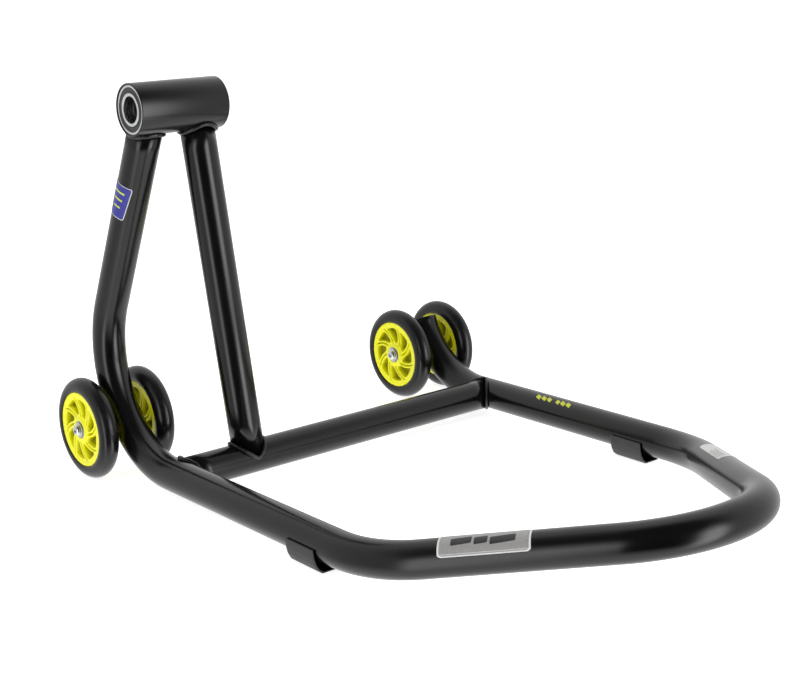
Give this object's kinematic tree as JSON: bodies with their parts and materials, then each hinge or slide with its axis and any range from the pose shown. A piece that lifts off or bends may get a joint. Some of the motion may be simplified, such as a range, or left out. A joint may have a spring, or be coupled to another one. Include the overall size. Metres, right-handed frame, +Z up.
{
  "type": "paddock stand",
  "caption": "Motorcycle paddock stand of bent round tube with a bearing housing for a single-sided hub pin, paired transport wheels and front saddle feet.",
  "frame": {"origin": "centre of the bounding box at floor level", "axes": "+Z up, +X across the stand towards the open horn, -Y towards the front bow, wheels at +Y"},
  "size_m": [0.614, 0.8387, 0.486],
  "materials": {
    "powder_coat": "semi-gloss black powder coat",
    "weld_coat": "glossy coated weld bead",
    "bearing_steel": "ground",
    "seal_rubber": "matte",
    "zinc_steel": "bright zinc plated",
    "hub_plastic": "fluorescent yellow, moulded",
    "tyre_pu": "satin black polyurethane",
    "foot_rubber": "matte dark grey"
  },
  "bodies": {
    "frame": {"main_tube": "powder_coat", "cross_tube": "powder_coat", "strut_tube": "powder_coat", "bearing_housing": "powder_coat", "weld_upright": "weld_coat", "weld_strut_top": "weld_coat", "weld_strut_base": "weld_coat", "weld_cross_l": "weld_coat", "weld_cross_r": "weld_coat", "foot_l": "foot_rubber", "foot_r": "foot_rubber", "bearing_outer_l": "bearing_steel", "bearing_outer_r": "bearing_steel", "bearing_seal_l": "seal_rubber", "bearing_seal_r": "seal_rubber", "axle_bush_l": "powder_coat", "axle_bolt_l": "zinc_steel", "axle_nut_l": "zinc_steel", "washer_head_l": "zinc_steel", "washer_nut_l": "zinc_steel", "axle_bush_r": "powder_coat", "axle_bolt_r": "zinc_steel", "axle_nut_r": "zinc_steel", "washer_head_r": "zinc_steel", "washer_nut_r": "zinc_steel", "race_inner_a_left_outer": "bearing_steel", "race_inner_b_left_outer": "bearing_steel", "spacer_left_outer": "bearing_steel", "race_inner_a_left_inner": "bearing_steel", "race_inner_b_left_inner": "bearing_steel", "spacer_left_inner": "bearing_steel", "race_inner_a_right_inner": "bearing_steel", "race_inner_b_right_inner": "bearing_steel", "spacer_right_inner": "bearing_steel", "race_inner_a_right_outer": "bearing_steel", "race_inner_b_right_outer": "bearing_steel", "spacer_right_outer": "bearing_steel"},
    "hub_sleeve": {"bearing_inner_l": "bearing_steel", "bearing_inner_r": "bearing_steel", "distance_sleeve": "bearing_steel"},
    "wheel_left_outer": {"tyre_left_outer": "tyre_pu", "hub_left_outer": "hub_plastic", "race_outer_a_left_outer": "bearing_steel", "race_outer_b_left_outer": "bearing_steel"},
    "wheel_left_inner": {"tyre_left_inner": "tyre_pu", "hub_left_inner": "hub_plastic", "race_outer_a_left_inner": "bearing_steel", "race_outer_b_left_inner": "bearing_steel"},
    "wheel_right_inner": {"tyre_right_inner": "tyre_pu", "hub_right_inner": "hub_plastic", "race_outer_a_right_inner": "bearing_steel", "race_outer_b_right_inner": "bearing_steel"},
    "wheel_right_outer": {"tyre_right_outer": "tyre_pu", "hub_right_outer": "hub_plastic", "race_outer_a_right_outer": "bearing_steel", "race_outer_b_right_outer": "bearing_steel"}
  },
  "joints": [
    {"name": "spin_left_outer", "type": "hinge", "parent": "frame", "child": "wheel_left_outer", "pos_m": [-0.2884, 0.357, 0.0625], "axis": [1, 0, 0], "continuous": true},
    {"name": "spin_left_inner", "type": "hinge", "parent": "frame", "child": "wheel_left_inner", "pos_m": [-0.2108, 0.357, 0.0625], "axis": [1, 0, 0], "continuous": true},
    {"name": "spin_right_inner", "type": "hinge", "parent": "frame", "child": "wheel_right_inner", "pos_m": [0.2062, 0.357, 0.0625], "axis": [1, 0, 0], "continuous": true},
    {"name": "spin_right_outer", "type": "hinge", "parent": "frame", "child": "wheel_right_outer", "pos_m": [0.2838, 0.357, 0.0625], "axis": [1, 0, 0], "continuous": true},
    {"name": "sleeve_spin", "type": "hinge", "parent": "frame", "child": "hub_sleeve", "pos_m": [-0.21885, 0.2253, 0.4565], "axis": [1, 0, 0], "continuous": true}
  ]
}
